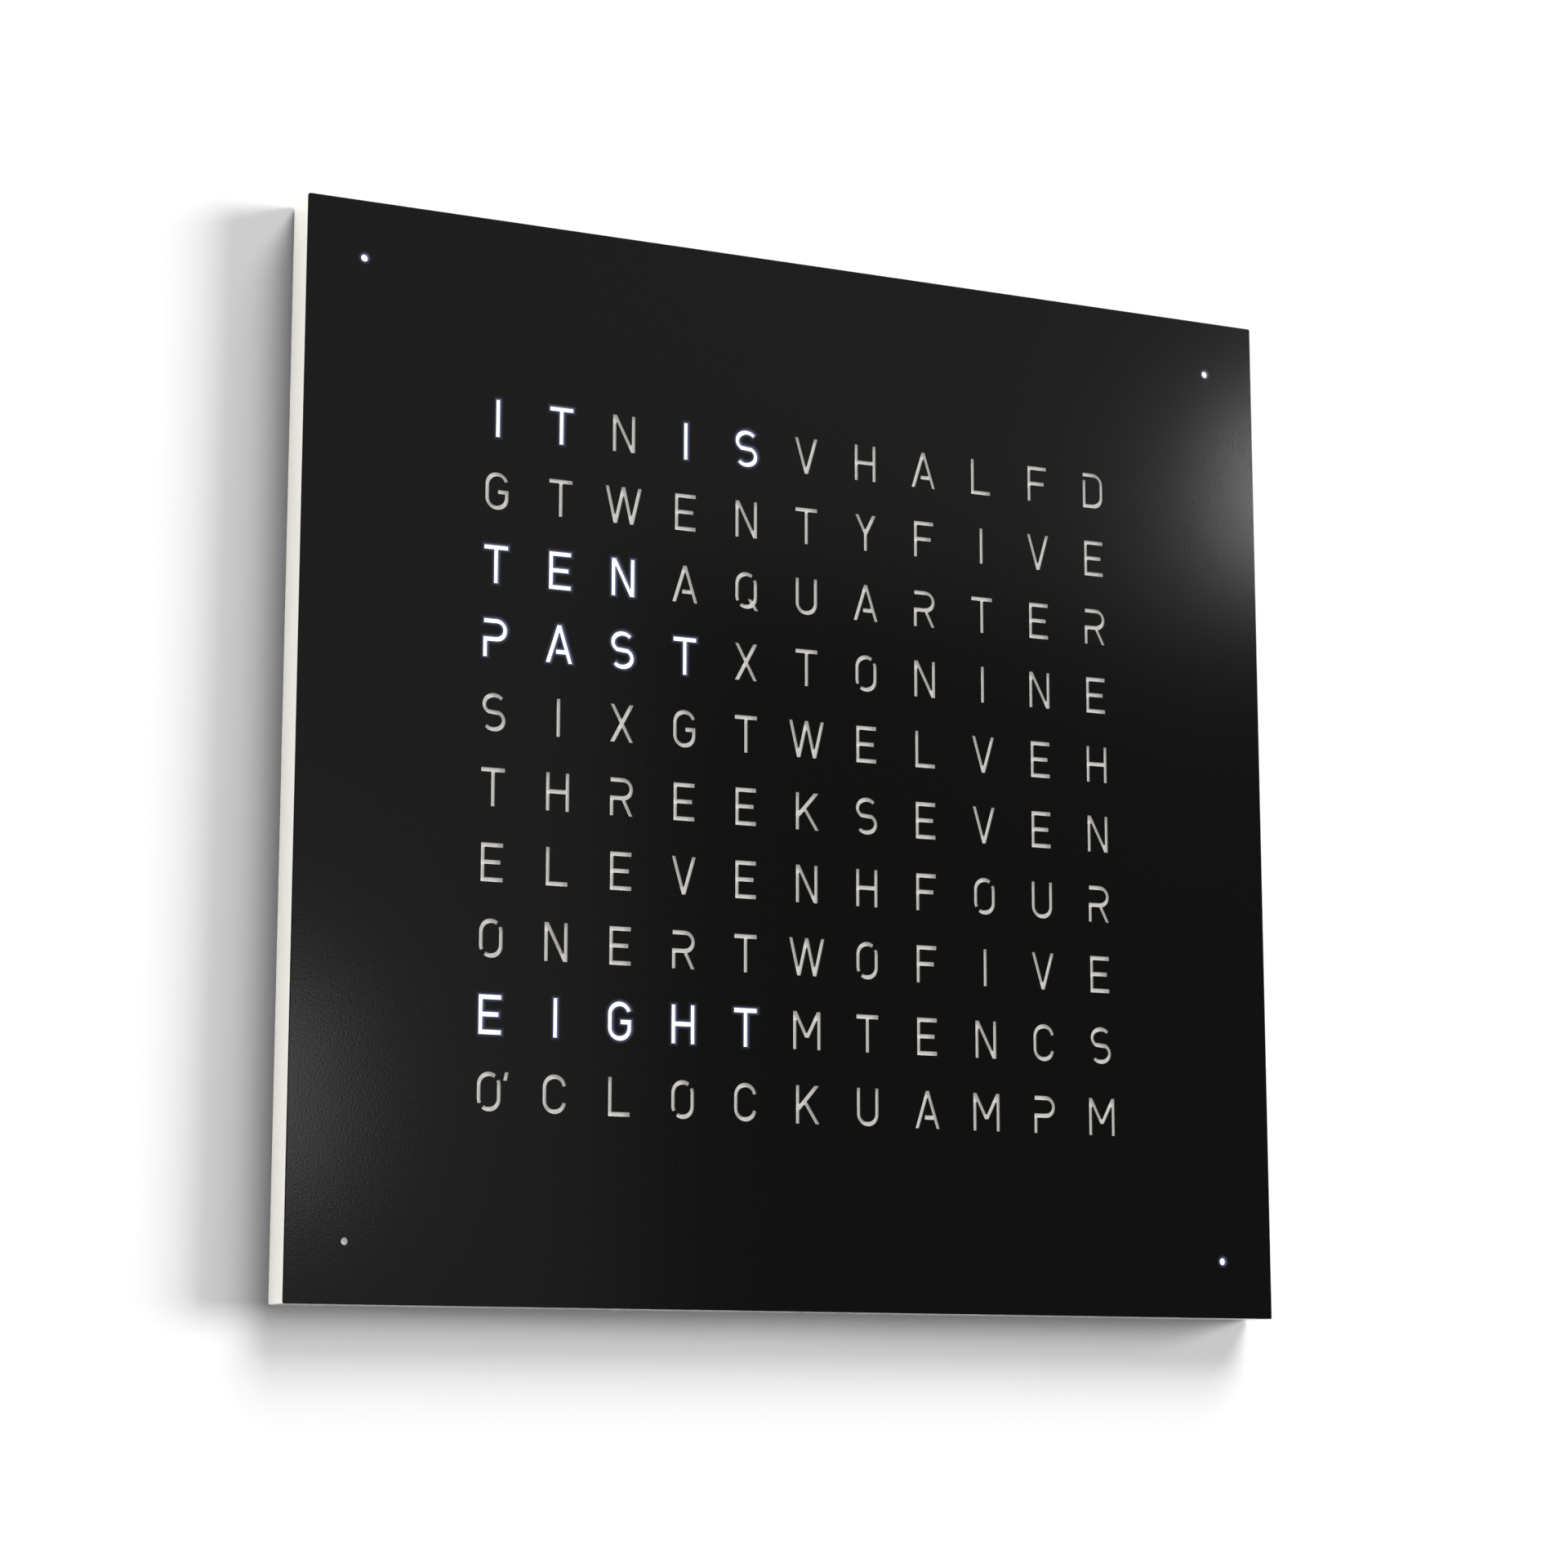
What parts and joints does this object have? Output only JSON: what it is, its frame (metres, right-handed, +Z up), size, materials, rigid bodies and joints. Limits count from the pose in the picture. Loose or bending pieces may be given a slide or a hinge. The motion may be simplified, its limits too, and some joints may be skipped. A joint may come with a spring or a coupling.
{
  "type": "word clock",
  "caption": "Slim square wall clock that tells the time in words: a black stencil-cut front sheet, lit from behind, held by magnets on an ivory lacquered housing.",
  "frame": {"origin": "centre of the square, in the plane of the wall that the wall pads touch", "axes": "+X to the right as the face is read, +Y into the wall, +Z up; the face looks along -Y"},
  "size_m": [0.45, 0.02, 0.45],
  "materials": {
    "ivory_lacquered_wood": "satin ivory lacquer",
    "black_powder_coat": "fine-grained matt powder coat",
    "opal_acrylic": "satin opal sheet",
    "white_plastic": "matt moulded",
    "dark_plastic": "matt moulded",
    "socket_plastic": "moulded",
    "circuit_board": "solder mask",
    "chip_resin": "moulded resin",
    "lamp_body": "white package with a pale lens",
    "clear_acrylic": "clear, polished",
    "lead_insulation": "matt",
    "ribbon_insulation": "matt",
    "stainless_steel": "brushed",
    "zinc_plated_steel": "zinc plated",
    "nickel_plated_magnet": "nickel plated",
    "brass": "turned",
    "aluminium_can": "drawn",
    "pad_rubber": "matt"
  },
  "bodies": {
    "casing": {"housing": "ivory_lacquered_wood", "housing_magnets": "nickel_plated_magnet", "peg_bushes": "brass", "diffuser_sheet": "opal_acrylic", "diffuser_screws": "zinc_plated_steel", "light_well_grid": "white_plastic", "grid_screws": "zinc_plated_steel", "lamp_board_upper": "circuit_board", "lamp_board_lower": "circuit_board", "board_links": "dark_plastic", "lamp_driver_chips": "chip_resin", "lamps": "lamp_body", "corner_lamp_boards": "circuit_board", "dot_light_tubes": "white_plastic", "corner_leads": "lead_insulation", "control_board": "circuit_board", "board_spacers": "white_plastic", "control_board_screws": "zinc_plated_steel", "microcontroller": "chip_resin", "quartz_crystal": "aluminium_can", "coin_cell_holder": "dark_plastic", "coin_cell": "stainless_steel", "smoothing_capacitors": "aluminium_can", "power_socket": "socket_plastic", "switch_bodies": "dark_plastic", "light_sensor": "clear_acrylic", "sensor_light_pipe": "clear_acrylic", "ribbon_cable": "ribbon_insulation", "ribbon_plugs": "dark_plastic", "service_cover": "dark_plastic", "service_cover_screws": "zinc_plated_steel", "hanger_plates": "zinc_plated_steel", "hanger_screws": "zinc_plated_steel", "wall_pads": "pad_rubber"},
    "front": {"front_cover": "black_powder_coat", "cover_pegs": "stainless_steel"},
    "mode_key": {"mode_button": "stainless_steel", "mode_switch_plunger": "white_plastic"},
    "minus_key": {"minus_button": "stainless_steel", "minus_switch_plunger": "white_plastic"},
    "plus_key": {"plus_button": "stainless_steel", "plus_switch_plunger": "white_plastic"}
  },
  "joints": [
    {"name": "front_pull_off", "type": "slide", "parent": "casing", "child": "front", "axis": [0, -1, 0], "range_m": [0, 0.06]},
    {"name": "mode_press", "type": "slide", "parent": "casing", "child": "mode_key", "axis": [0, 0, 1], "range_m": [0, 0.001], "stiffness_N_per_m": 1500, "springref_m": -0.0004},
    {"name": "minus_press", "type": "slide", "parent": "casing", "child": "minus_key", "axis": [0, 0, 1], "range_m": [0, 0.001], "stiffness_N_per_m": 1500, "springref_m": -0.0004},
    {"name": "plus_press", "type": "slide", "parent": "casing", "child": "plus_key", "axis": [0, 0, 1], "range_m": [0, 0.001], "stiffness_N_per_m": 1500, "springref_m": -0.0004}
  ]
}
